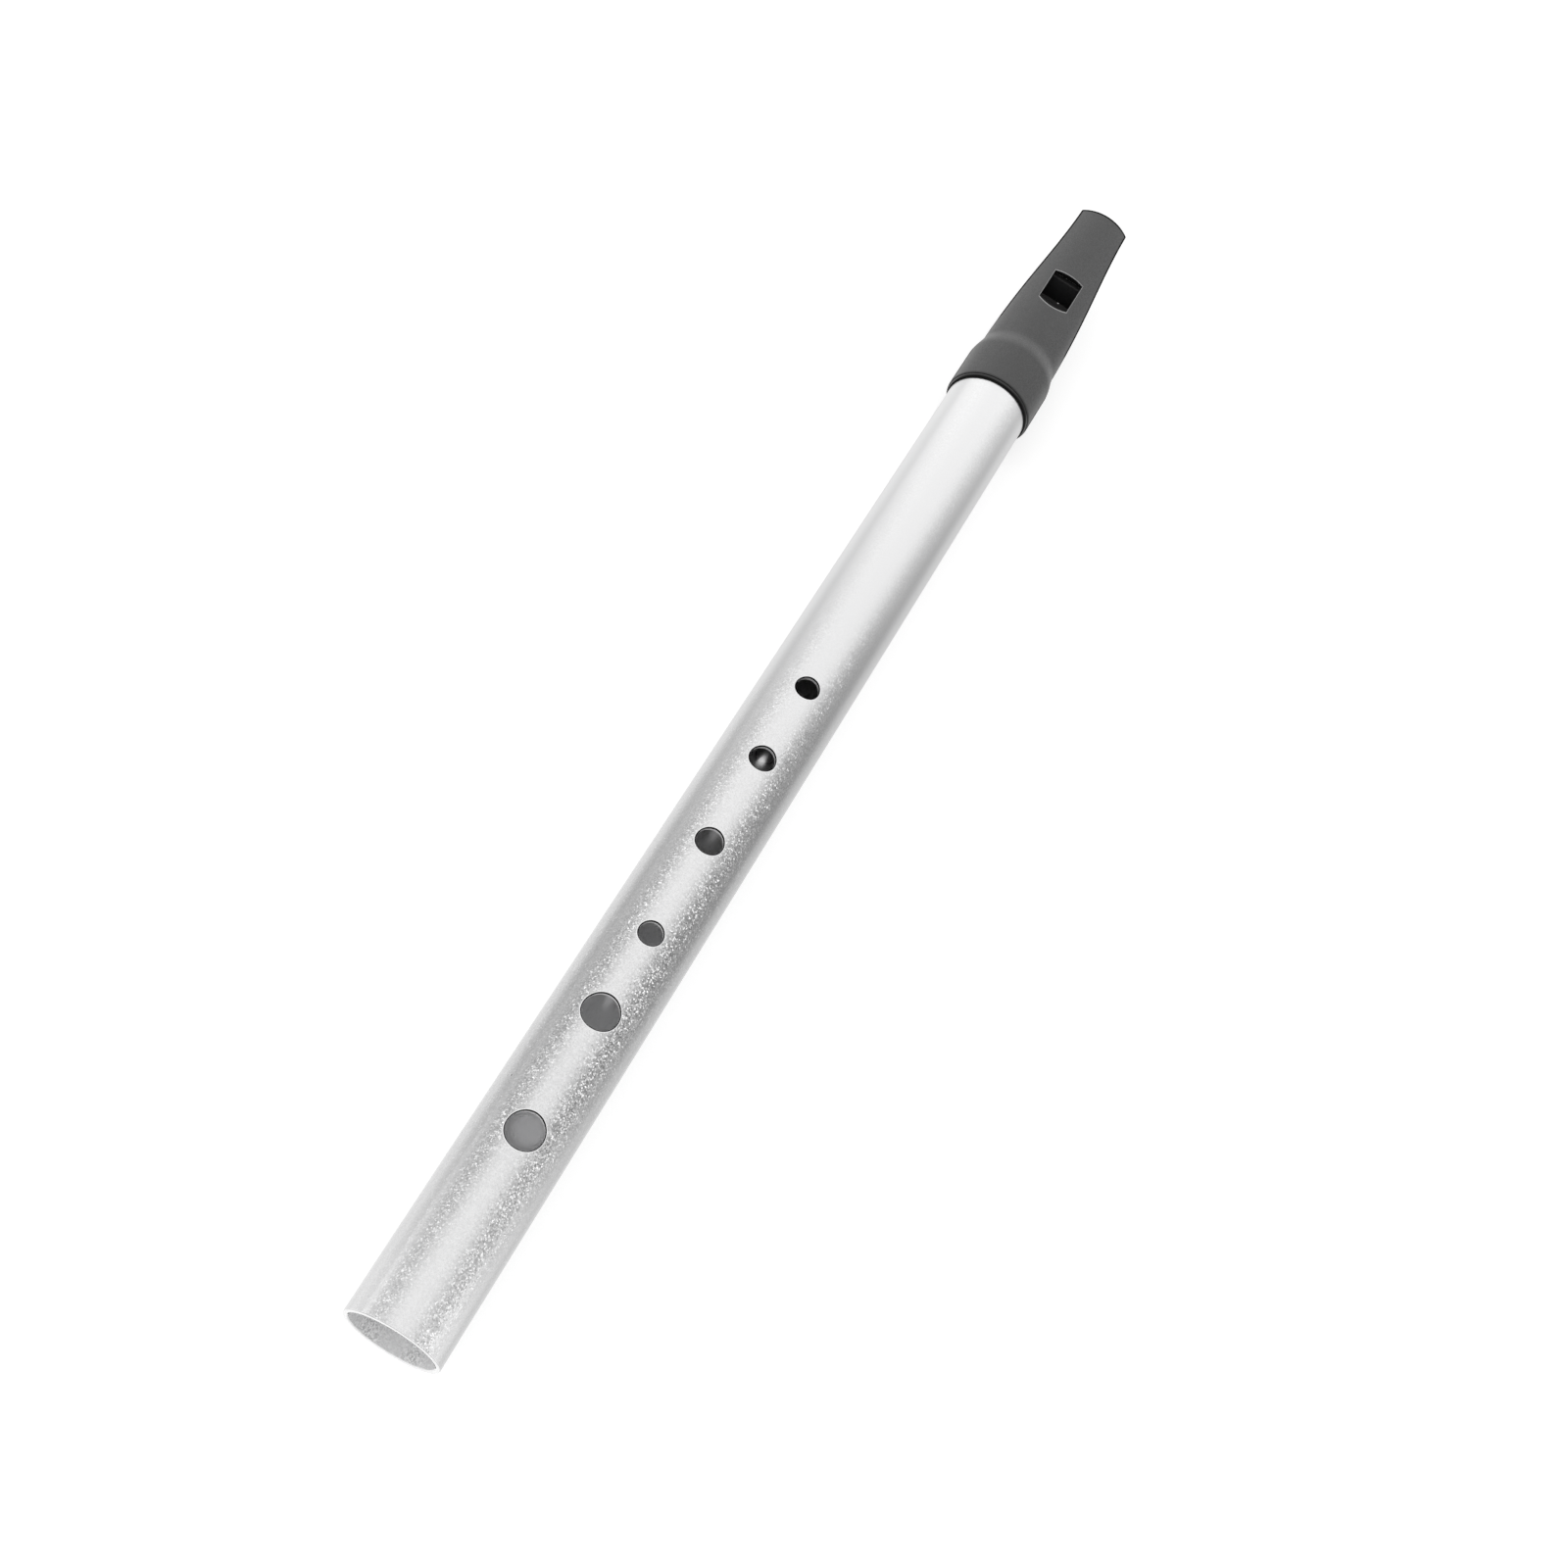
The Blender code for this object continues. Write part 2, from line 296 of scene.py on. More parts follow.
def tube_rim(shape, end, inward, outer_row, inner_row):
    previous = outer_row
    for i, (station, radius) in enumerate(rim_profile(end, inward)):
        current = shape.row(round_ring(station, radius))
        for j in range(TUBE_SIDES):
            # the upper part of the inner edge is dark
            upper = math.cos(TUBE_STEP * j) > 0.10
            shape.paint(TUBE_SKIN if i < 2 else TUBE_SHADE if i > 6 and upper else TUBE_RIM)
            k = (j + 1) % TUBE_SIDES
            shape.quad(previous[j], previous[k], current[k], current[j])
        previous = current
    shape.paint(TUBE_RIM)
    shape.strip(previous, inner_row)


def finger_hole(shape, grids, stations, first, last, hole):
    """Joins the square patches of skin and bore through a round hole with a rounded edge."""
    centre, hole_radius, reach = hole
    turn = [(last, j) for j in range(-reach, reach)]
    turn += [(i, reach) for i in range(last, first, -1)]
    turn += [(first, j) for j in range(reach, -reach, -1)]
    turn += [(i, -reach) for i in range(first, last)]
    # offset from the hole's centre along the tube, and angle round it
    offsets = [(stations[i] - centre, TUBE_STEP * j) for i, j in turn]
    bearings = [math.atan2(TUBE_RADIUS * angle, along) for along, angle in offsets]

    def on_surface(radius, reach_out, bearing, drop=0.0):
        y = reach_out * math.sin(bearing)
        return (
            centre + reach_out * math.cos(bearing),
            y,
            math.sqrt(radius * radius - y * y) - drop,
        )

    def circle(radius, reach_out, drop=0.0):
        return shape.row([on_surface(radius, reach_out, b, drop) for b in bearings])

    def patch_rows(grid, radius, reach_out):
        """Rows from the patch's edge towards the circle, which is not included."""
        rows = [[grid[i][j % TUBE_SIDES] for i, j in turn]]
        for share in PATCH_SHARES:
            points = []
            for (along, angle), bearing in zip(offsets, bearings):
                end_along = reach_out * math.cos(bearing)
                end_angle = math.asin(reach_out * math.sin(bearing) / radius)
                x = along + (end_along - along) * share
                a = angle + (end_angle - angle) * share
                points.append((centre + x, radius * math.sin(a), radius * math.cos(a)))
            rows.append(shape.row(points))
        return rows

    edge_radius = hole_radius + HOLE_FILLET
    rows = patch_rows(grids[0], TUBE_RADIUS, edge_radius + HOLE_RING)
    rows.append(circle(TUBE_RADIUS, edge_radius + HOLE_RING))
    rows.append(circle(TUBE_RADIUS, edge_radius))
    for degrees in (18, 36, 54, 72, 90):
        t = math.radians(degrees)
        reach_out = hole_radius + HOLE_FILLET * (1 - math.sin(t))
        rows.append(circle(TUBE_RADIUS, reach_out, HOLE_FILLET * (1 - math.cos(t))))
    for share in WALL_SHARES:
        points = []
        for bearing in bearings:
            x, y, top = on_surface(TUBE_RADIUS, hole_radius, bearing, HOLE_FILLET)
            bottom = on_surface(BORE_RADIUS, hole_radius, bearing)[2] + HOLE_INNER_ROUND
            points.append((x, y, top + (bottom - top) * share))
        rows.append(shape.row(points))
    inner_edge = hole_radius + HOLE_INNER_ROUND
    rows.append(circle(BORE_RADIUS, inner_edge))
    inner_rows = patch_rows(grids[1], BORE_RADIUS, inner_edge + 0.05)
    rows.append(circle(BORE_RADIUS, inner_edge + 0.05))
    rows += reversed(inner_rows)
    for i, (row, following) in enumerate(zip(rows, rows[1:])):
        shape.paint(
            TUBE_SKIN if i < 6 else HOLE_HIGHLIGHT if i < 7 else TUBE_SHADE if i < 13 else TUBE_BORE
        )
        shape.strip(row, following)


def build_tube(materials):
    shape = Shape()
    stations, patches = tube_stations()
    grids = [
        [shape.row(round_ring(s, radius)) for s in stations]
        for radius in (TUBE_RADIUS, BORE_RADIUS)
    ]
    outer, inner = grids
    tube_skins(shape, grids, patches)
    tube_rim(shape, 0.0, 1, outer[0], inner[0])
    tube_rim(shape, TUBE_LENGTH, -1, outer[-1], inner[-1])
    for (first, last), hole in zip(patches, HOLES):
        finger_hole(shape, grids, stations, first, last, hole)
    ob = shape.make("tube_aluminium", materials)
    # the grid's points inside the patches belong to no face
    with editing(ob.data) as bm:
        loose = [v for v in bm.verts if not v.link_faces]
        bmesh.ops.delete(bm, geom=loose, context="VERTS")
    outward(ob)
    finish_shading(ob, 50)
    return ob


# ------------------------------------------------------------------ sleeve
RING_CREST, RING_NOSE = range(2)                     # the sleeve's material slots


def sleeve_profile():
    """(station, radius) round the sleeve's closed section."""
    back = SLEEVE_START + LIP_LENGTH
    lip = SLEEVE_LIP_RADIUS
    profile = [
        (SLEEVE_END, SLEEVE_BORE),
        (SLEEVE_END, SLEEVE_RADIUS - 0.05),
        (SLEEVE_END - 0.05, SLEEVE_RADIUS),
        (back + 0.04, SLEEVE_RADIUS),
        (back + 0.01, SLEEVE_RADIUS + 0.01),
        (back, SLEEVE_RADIUS + 0.03),
        (back, lip - SLEEVE_ROUND),
    ]
    # rounded edge from the lip's back face to its crest
    for degrees in (22, 45, 67, 90):
        t = math.radians(degrees)
        profile.append((
            back - SLEEVE_ROUND * (1 - math.cos(t)),
            lip - SLEEVE_ROUND + SLEEVE_ROUND * math.sin(t),
        ))
    profile.append((SLEEVE_START + NOSE_LENGTH, lip))
    # the nose rolls towards the foot and down to the tube
    low = SLEEVE_BORE + 0.05
    for degrees in spread(0, 90, 14)[1:]:
        t = math.radians(degrees)
        profile.append((
            SLEEVE_START + NOSE_LENGTH * (1 - math.sin(t)),
            low + (lip - low) * math.cos(t) ** 0.9,
        ))
    profile.append((SLEEVE_START + 0.005, SLEEVE_BORE + 0.02))
    profile.append((SLEEVE_START + 0.03, SLEEVE_BORE))
    return profile


def build_sleeve(materials):
    shape = Shape()
    profile = sleeve_profile()
    rows = [shape.row(round_ring(station, radius)) for station, radius in profile]
    for i, (_, radius) in enumerate(profile):
        shape.paint(RING_CREST if radius > SLEEVE_LIP_RADIUS - 0.035 else RING_NOSE)
        shape.strip(rows[i], rows[(i + 1) % len(rows)])
    ob = shape.make("sleeve_gloss_ring", materials)
    outward(ob)
    finish_shading(ob, 40)
    return ob


# ------------------------------------------------------------------ head sections
def outer_radius(x):
    return ease(x, SHOULDER_START, SHOULDER_END, SOCKET_RADIUS, NECK_RADIUS)


def half_width(x):
    widest = NECK_HALF_WIDTH
    if x < SHOULDER_END:
        widest = ease(x, SHOULDER_START, SHOULDER_END, SOCKET_RADIUS + 0.2, NECK_HALF_WIDTH)
    return min(widest, ease(x, TAPER_START, TAPER_END, widest, TIP_HALF_WIDTH))


def scoop(x):
    """Z of the underside, which rises to TIP_Z at the mouth with a softened start."""
    u = (x - SCOOP_START) / SCOOP_SOFTNESS
    softened = SCOOP_START + SCOOP_SOFTNESS * (math.log1p(math.exp(-abs(u))) + max(u, 0))
    t = min(1.0, max(0.0, (softened - SCOOP_START) / (LENGTH - SCOOP_START)))
    return -outer_radius(x) + (TIP_Z + NECK_RADIUS) * (1 - (1 - t) ** 2)


def corner_radius(x):
    return ease(x, 247.0, 266.0, 5.2, 0.42)


def section(radius, width, low_z, corner, roof=None):
    """Dense half contour from the top centre round by +Y to the bottom centre: a disc cut
    at y = width, z = low_z and z = roof, with its corners rounded.
    Columns: y, z, angle of the outward normal from +Z."""
    top = min(radius, roof) if roof is not None else radius
    bottom = max(-radius, low_z)
    middle = (top + bottom) / 2
    corner = min(corner, (top - bottom) / 2 - 0.05, width - 0.05, radius - 0.05)
    # the outline moved in by the corner radius, measured out from (0, middle)
    core_radius, core_width, core_low = radius - corner, width - corner, low_z + corner
    sweep = np.linspace(0, math.pi, 2881)
    dy, dz = np.sin(sweep), np.cos(sweep)
    b = middle * dz
    reach = -b + np.sqrt(np.maximum(b * b - (middle * middle - core_radius * core_radius), 0))
    side_reach = core_width / np.maximum(dy, 1e-9)
    reach = np.minimum(reach, np.where(dy > 1e-9, side_reach, 1e9))
    low_reach = (middle - core_low) / np.maximum(-dz, 1e-9)
    reach = np.minimum(reach, np.where(dz < -1e-9, low_reach, 1e9))
    if roof is not None:
        roof_reach = ((roof - corner) - middle) / np.maximum(dz, 1e-9)
        reach = np.minimum(reach, np.where(dz > 1e-9, roof_reach, 1e9))
    core = np.c_[reach * dy, middle + reach * dz]
    edges = np.diff(core, axis=0)
    normals = np.c_[-edges[:, 1], edges[:, 0]]
    normals /= np.maximum(np.linalg.norm(normals, axis=1), 1e-12)[:, None]
    turn = np.arctan2(normals[:, 0], normals[:, 1])
    turn = np.maximum.accumulate(np.clip(turn, 0, math.pi))
    turn = np.r_[0.0, turn, math.pi]
    # move back out along the normal, with an arc wherever it turns
    contour = []
    for i in range(len(core)):
        start, end = turn[i], turn[i + 1]
        count = 1 + int((end - start) / math.radians(1.5))
        for q in range(count + 1):
            a = start + (end - start) * q / count
            y = core[i, 0] + corner * math.sin(a)
            contour.append((y, core[i, 1] + corner * math.cos(a), a))
    contour = np.array(contour)
    contour[0, 0] = 0.0
    contour[-1, 0] = 0.0
    gaps = np.linalg.norm(np.diff(contour[:, :2], axis=0), axis=1)
    return contour[np.r_[True, gaps > 1e-7]]


TOP_STEPS, REST_STEPS = 12, 46                       # contour steps over the window, and beyond
HALF_STEPS = TOP_STEPS + REST_STEPS
RING_STEPS = 2 * HALF_STEPS
TURN_WEIGHT = 3.2                                    # mm of contour that one radian counts for
FAR_EDGE = RING_STEPS - TOP_STEPS                    # ring index of the window's -Y edge
TOP_INDICES = [j % RING_STEPS for j in range(-TOP_STEPS, TOP_STEPS + 1)]
# the window's -Y and +Y edges: index in a row across the top, index in a whole ring
WINDOW_EDGES = ((0, FAR_EDGE), (-1, TOP_STEPS))


def resample(dense):
    """Half contour with TOP_STEPS equal steps of y over the window's half width, then
    REST_STEPS to the bottom centre, denser where it turns."""
    y, z, _ = dense.T
    i = np.argmax(y >= WINDOW_HALF)
    share = (WINDOW_HALF - y[i - 1]) / (y[i] - y[i - 1])
    split = dense[i - 1] + share * (dense[i] - dense[i - 1])
    top_y = np.linspace(0, WINDOW_HALF, TOP_STEPS + 1)
    top = np.c_[top_y, np.interp(top_y, np.r_[y[:i], split[0]], np.r_[z[:i], split[1]])]
    rest = np.vstack([split, dense[i:]])
    lengths = np.linalg.norm(np.diff(rest[:, :2], axis=0), axis=1)
    measure = np.r_[0, np.cumsum(lengths + TURN_WEIGHT * np.abs(np.diff(rest[:, 2])))]
    wanted = np.linspace(0, measure[-1], REST_STEPS + 1)
    lower = np.c_[np.interp(wanted, measure, rest[:, 0]), np.interp(wanted, measure, rest[:, 1])]
    half = np.vstack([top, lower[1:]])
    half[-1, 0] = 0.0
    return half


def section_ring(*args):
    """Whole resampled contour: index 0 is the top centre, indices run by +Y."""
    half = resample(section(*args))
    other = half[1:-1][::-1].copy()
    other[:, 0] *= -1
    return np.vstack([half, other])


def circle_ring(radius):
    return section_ring(radius, radius + 1, -radius - 1, 1.0)


def outer_ring(x):
    return section_ring(outer_radius(x), half_width(x), scoop(x), corner_radius(x))


def beak_ring(x):
    """Outer ring whose top, over the window's width, lies on the neck's cylinder."""
    ring = outer_ring(x)
    for j in TOP_INDICES:
        ring[j, 1] = math.sqrt(NECK_RADIUS**2 - ring[j, 0] ** 2)
    return ring


def roof_under(x):
    if x <= 249.0:
        return None
    if x <= BLADE_X:
        return ease(x, 249.0, 256.0, CHAMBER_RADIUS + 0.3, UNDER_Z)
    return float(np.interp(x, [BLADE_X, EXIT_X - 1.0, EXIT_X], [UNDER_Z, SLOT_Z, SLOT_Z]))


def inner_ring(x, inset=0.0, roof=None):
    return section_ring(
        CHAMBER_RADIUS - inset,
        half_width(x) - WALL - inset,
        scoop(x) + FLOOR + inset,
        CHAMBER_CORNER,
        roof if roof is not None else roof_under(x),
    )


def ramp_start(y):
    """Station where the ramp leaves the neck's cylinder."""
    return RAMP_START + (NECK_RADIUS - math.sqrt(NECK_RADIUS**2 - y * y)) / RAMP_SLOPE


def ring_row(shape, x, ring):
    return shape.row([(x, y, z) for y, z in ring])


def open_row(shape, x, ring):
    """A ring's row without the points inside the window's width."""
    return [
        None if j < TOP_STEPS or j > FAR_EDGE else shape.add((x, y, z))
        for j, (y, z) in enumerate(ring)
    ]


def over_window(j):
    """True where the edge from contour point j to j + 1 lies over the window's width."""
    return j < TOP_STEPS or j >= FAR_EDGE


def open_loft(shape, rows):
    """Joins rings everywhere but over the window's width."""
    for first, second in zip(rows, rows[1:]):
        for j in range(RING_STEPS):
            if not over_window(j):
                k = (j + 1) % RING_STEPS
                shape.quad(first[j], first[k], second[k], second[j])


# ------------------------------------------------------------------ head
SATIN, INSIDE, DEEP, EDGE_HIGHLIGHT, MOUTH_SHADE = range(5)            # the head's material slots
RAMP_ROWS, WINDOW_ROWS = 7, 9
WINDOW_X = steps(BLADE_X, EXIT_X - BLADE_X, WINDOW_ROWS)
BEAK_X = [EXIT_X + 0.5] + spread(EXIT_X + 1.5, LENGTH - 0.9, 18) + [LENGTH - 0.42, LENGTH]


def head_outside(shape):
    """Outer skin. Returns the socket's first row, the rows beside the ramp and window,
    and the mouth end's row."""
    rows = [
        ring_row(shape, HEAD_START, circle_ring(SOCKET_BORE + 0.04)),
        ring_row(shape, HEAD_START, circle_ring(SOCKET_RADIUS - SOCKET_ROUND)),
    ]
    for degrees in (18, 36, 54, 72, 90):
        t = math.radians(degrees)
        ring = circle_ring(SOCKET_RADIUS - SOCKET_ROUND + SOCKET_ROUND * math.sin(t))
        rows.append(ring_row(shape, HEAD_START + SOCKET_ROUND * (1 - math.cos(t)), ring))
    for x in (HEAD_START + 0.34, HEAD_START + 1.2, 234.0, 236.0, 238.0, 240.0, 241.6):
        rows.append(ring_row(shape, x, circle_ring(SOCKET_RADIUS)))
    shoulder = spread(SHOULDER_START, SHOULDER_END + 0.4, 18)
    for x in shoulder + [249.2, 250.4, 251.2, NECK_BEND_START]:
        rows.append(ring_row(shape, x, outer_ring(x)))
    # over the window's width the cross lines bend to the ramp's curved start
    ramp_side = ramp_start(WINDOW_HALF)
    neck_length = ramp_side - NECK_BEND_START
    for x in steps(NECK_BEND_START, neck_length, 9):
        bend = ((x - NECK_BEND_START) / neck_length) ** 2
        points = []
        for j, (y, z) in enumerate(beak_ring(x)):
            over = j <= TOP_STEPS or j >= FAR_EDGE
            points.append((x + bend * (ramp_start(y) - ramp_side) if over else x, y, z))
        rows.append(shape.row(points))
    shape.loft(rows)

    beside = steps(ramp_side, BLADE_X - ramp_side, RAMP_ROWS) + WINDOW_X
    side_rows = [rows[-1]] + [open_row(shape, x, beak_ring(x)) for x in beside[:-1]]
    side_rows.append(ring_row(shape, beside[-1], beak_ring(beside[-1])))
    open_loft(shape, side_rows)

    beak = [side_rows[-1]] + [ring_row(shape, x, beak_ring(x)) for x in BEAK_X]
    shape.loft(beak)
    return rows[0], side_rows, beak[-1]


def head_ramp(shape, start_row):
    """The slope down to the blade."""
    rows = [start_row]
    for k in range(1, RAMP_ROWS + 1):
        points = []
        for start_x, y, _ in (shape.points[i] for i in start_row):
            x = start_x + (BLADE_X - start_x) * k / RAMP_ROWS
            points.append((x, y, NECK_RADIUS - RAMP_SLOPE * (x - RAMP_START)))
        rows.append(shape.row(points))
    shape.loft(rows, closed=False)
    return rows


def head_inside(shape, socket_row, blade_row):
    """Socket, chamber and the pocket round the block. Returns the rows beside the window
    and the rows from there to the mouth."""
    bore = [socket_row]
    socket_x = (HEAD_START + 0.3, 235.0, 239.0, SOCKET_STOP - 0.3, SOCKET_STOP)
    for x in (HEAD_START + 0.05,) + socket_x:
        bore.append(ring_row(shape, x, circle_ring(SOCKET_BORE)))
    bore.append(ring_row(shape, SOCKET_STOP, circle_ring(CHAMBER_RADIUS + 0.2)))
    for x in [SOCKET_STOP + 0.2] + spread(243.6, 249.0, 4) + spread(250.0, BLADE_X, 12):
        bore.append(ring_row(shape, x, inner_ring(x)))
    shape.loft(bore)
    shape.strip(blade_row, [bore[-1][j] for j in TOP_INDICES], closed=False)

    window_rows = [bore[-1]] + [open_row(shape, x, inner_ring(x)) for x in WINDOW_X]
    open_loft(shape, window_rows)
    pocket_rows = [window_rows[-1]] + [open_row(shape, x, inner_ring(x)) for x in BEAK_X]
    open_loft(shape, pocket_rows)
    return window_rows, pocket_rows


def head_windway(shape, across, pocket_rows, exit_row):
    """Windway roof, its side walls and the roof's end face at the window."""
    rows = [shape.row([(x, y, ROOF_Z) for y in across]) for x in [EXIT_X] + BEAK_X]
    shape.loft(rows, closed=False)
    for edge, j in WINDOW_EDGES:
        for i in range(len(rows) - 1):
            shape.quad(
                rows[i][edge], rows[i + 1][edge], pocket_rows[i + 1][j], pocket_rows[i][j]
            )
    shape.strip([exit_row[j] for j in TOP_INDICES], rows[0], closed=False)
    return rows


def window_walls(shape, side_rows, ramp_rows, window_rows, roof_end):
    for edge, j in WINDOW_EDGES:
        for k in range(RAMP_ROWS):
            shape.quad(
                side_rows[k][j], side_rows[k + 1][j], ramp_rows[k + 1][edge], ramp_rows[k][edge]
            )
        for k in range(WINDOW_ROWS):
            face = [side_rows[RAMP_ROWS + k][j], side_rows[RAMP_ROWS + k + 1][j]]
            if k == WINDOW_ROWS - 1:
                face.append(roof_end[edge])
            face += [window_rows[k + 1][j], window_rows[k][j]]
            if k == 0:
                face.append(ramp_rows[-1][edge])
            shape.faces.append(face)


def mouth_face(shape, outer, pocket, roof):
    for j in range(RING_STEPS):
        k = (j + 1) % RING_STEPS
        if over_window(j):
            i = (j + TOP_STEPS) % RING_STEPS
            shape.quad(outer[j], outer[k], roof[i + 1], roof[i])
            continue
        face = [outer[j], outer[k], pocket[k], pocket[j]]
        if j == TOP_STEPS:
            face.append(roof[-1])
        elif k == FAR_EDGE:
            face.insert(2, roof[0])
        shape.faces.append(face)


def bevel_edges(ob, lines):
    """Rounds the edges along each (width, point ids) line and bakes the result."""
    weights = {}
    for width, ids in lines:
        for pair in zip(ids, ids[1:]):
            weights[frozenset(pair)] = width / SOFT_BEVEL
    with editing(ob.data) as bm:
        layer = bm.edges.layers.float.new("bevel_weight_edge")
        for edge in bm.edges:
            pair = frozenset(v.index for v in edge.verts)
            if pair in weights:
                edge[layer] = weights[pair]
    bevel = ob.modifiers.new("edge_rounds", "BEVEL")
    bevel.limit_method = "WEIGHT"
    bevel.width = SOFT_BEVEL * MM
    bevel.segments = 3
    bevel.profile = 0.5
    bevel.use_clamp_overlap = True
    bevel.miter_outer = "MITER_SHARP"
    # the rounds take the pale material, a painted highlight along the edges
    bevel.material = EDGE_HIGHLIGHT
    depsgraph = bpy.context.evaluated_depsgraph_get()
    baked = bpy.data.meshes.new_from_object(ob.evaluated_get(depsgraph))
    ob.modifiers.clear()
    with editing(baked) as bm:
        bmesh.ops.dissolve_degenerate(bm, dist=0.0001 * MM, edges=bm.edges)
    ob.data = baked
    ob.data.name = "head_moulding"


def store_corner_gap(mesh):
    """Distance in mm from the beak's long corners: the material paints a line of shade along them."""
    values = []
    for vertex in mesh.vertices:
        x = min(to_station(vertex.co.x), LENGTH)
        y, z = abs(vertex.co.y) / MM, vertex.co.z / MM
        width, corner = half_width(x), corner_radius(x)
        low = math.sqrt(max((NECK_RADIUS - corner) ** 2 - (width - corner) ** 2, 0.0))
        values.append(float((width - y) + 4.0 * max(0.0, low - z)))
    mesh.attributes.new("corner_gap", "FLOAT", "POINT").data.foreach_set("value", values)


def build_head(materials):
    shape = Shape()
    socket_row, side_rows, mouth_outer = head_outside(shape)
    exit_row = side_rows[-1]
    ramp_top = [side_rows[0][j] for j in TOP_INDICES]
    shape.paint(INSIDE)
    ramp_rows = head_ramp(shape, ramp_top)
    shape.paint(DEEP)
    window_rows, pocket_rows = head_inside(shape, socket_row, ramp_rows[-1])
    shape.paint(INSIDE)
    across = [shape.points[i][1] for i in ramp_top]
    roof_rows = head_windway(shape, across, pocket_rows, exit_row)
    window_walls(shape, side_rows, ramp_rows, window_rows, roof_rows[0])
    shape.paint(SATIN)
    mouth_face(shape, mouth_outer, pocket_rows[-1], roof_rows[-1])
    ob = shape.make("head_moulding", materials)
    outward(ob)

    lines = [(SOFT_BEVEL, [row[j] for row in side_rows]) for j in (TOP_STEPS, FAR_EDGE)]
    lines += [
        (SOFT_BEVEL, [exit_row[j] for j in TOP_INDICES]),
        (SOFT_BEVEL, ramp_top),
        (SOFT_BEVEL, mouth_outer + mouth_outer[:1]),
        (FINE_BEVEL, roof_rows[-1]),
        (FINE_BEVEL, roof_rows[0]),
        (FINE_BEVEL, [i for i in pocket_rows[-1] if i is not None]),
    ]
    bevel_edges(ob, lines)
    # the rounded edge at the mouth end is painted shade, black, not the painted highlight
    for polygon in ob.data.polygons:
        if polygon.material_index == EDGE_HIGHLIGHT and to_station(polygon.center.x) > LENGTH - 0.4:
            polygon.material_index = MOUTH_SHADE
    store_corner_gap(ob.data)
    finish_shading(ob, 36)
    return ob


# ------------------------------------------------------------------ block
def build_block(material):
    shape = Shape()
    stations = [BLOCK_START, BLOCK_START + BLOCK_CHAMFER]
    stations += spread(BLOCK_START + 0.6, BLOCK_END - 0.6, 16)
    stations += [BLOCK_END - BLOCK_CHAMFER, BLOCK_END]
    rows = []
    for i, x in enumerate(stations):
        inset = BLOCK_GAP + (BLOCK_CHAMFER if i in (0, len(stations) - 1) else 0.0)
        ring = inner_ring(max(x, EXIT_X), inset, SLOT_Z - inset + BLOCK_GAP * 0.5)
        rows.append(ring_row(shape, x, ring))
    shape.loft(rows)
    ob = shape.make("fipple_plug")
    # end caps: fans from a point in the middle of each end
    with editing(ob.data) as bm:
        bm.verts.ensure_lookup_table()
        for rim in [[bm.verts[i] for i in row] for row in (rows[0], rows[-1])]:
            hub = bm.verts.new(sum((v.co for v in rim), Vector()) / len(rim))
            for a, b in zip(rim, rim[1:] + rim[:1]):
                bm.faces.new((a, b, hub))
    outward(ob)
    finish_shading(ob, 40)
    ob.data.materials.append(material)
    return ob


# ------------------------------------------------------------------ node helpers
class Graph:
    """Builds one node tree. Values may be numbers or sockets."""

    def __init__(self, tree, output):
        self.tree = tree
        tree.nodes.clear()
        self.output = self.add(output)

    def feed(self, socket, value):
        if isinstance(value, bpy.types.NodeSocket):
            self.tree.links.new(value, socket)
        else:
            socket.default_value = value

    def add(self, kind, inputs=None, **settings):
        node = self.tree.nodes.new(kind)
        for name, value in settings.items():
            setattr(node, name, value)
        for name, value in (inputs or {}).items():
            self.feed(node.inputs[name], value)
        return node

    def math(self, operation, a, b=0.0):
        return self.add("ShaderNodeMath", {0: a, 1: b}, operation=operation).outputs[0]

    def plus(self, a, b):
        return self.math("ADD", a, b)

    def minus(self, a, b):
        return self.math("SUBTRACT", a, b)

    def times(self, a, b):
        return self.math("MULTIPLY", a, b)

    def vector(self, operation, a, b=None, scale=None):
        inputs = {0: a}
        if b is not None:
            inputs[1] = b
        if scale is not None:
            inputs["Scale"] = scale
        node = self.add("ShaderNodeVectorMath", inputs, operation=operation)
        return node.outputs["Value" if operation in ("DOT_PRODUCT", "DISTANCE") else "Vector"]

    def split(self, vector):
        return self.add("ShaderNodeSeparateXYZ", {0: vector}).outputs

    def noise(self, vector, scale, detail, roughness):
        inputs = {"Scale": scale, "Detail": detail, "Roughness": roughness, "Vector": vector}
        return self.add("ShaderNodeTexNoise", inputs).outputs[0]

    def remap(self, value, span, to=(0.0, 1.0)):
        """Straight line from to[0] at span[0] to to[1] at span[1], level outside."""
        inputs = {
            "From Min": span[0], "From Max": span[1], "To Min": to[0], "To Max": to[1],
            "Value": value,
        }
        return self.add("ShaderNodeMapRange", inputs).outputs[0]

    def along(self, x, stations, to=(0.0, 1.0)):
        return self.remap(x, span=[place(s) for s in stations], to=to)

    def mix_colours(self, a, b, factor):
        node = self.add(
            "ShaderNodeMix", {"A": a, "B": b, "Factor": factor},
            data_type="RGBA", clamp_factor=False,
        )
        return node.outputs["Result"]

    def light_path(self, ray):
        return self.add("ShaderNodeLightPath").outputs[ray]


def node_material(name):
    material = bpy.data.materials.new(name)
    material.use_nodes = True
    graph = Graph(material.node_tree, "ShaderNodeOutputMaterial")
    shader = graph.add("ShaderNodeBsdfPrincipled")
    graph.feed(graph.output.inputs[0], shader.outputs[0])
    return material, graph, shader


NOISE_SPAN = (0.3, 0.7)                              # the part of a noise's range that is used


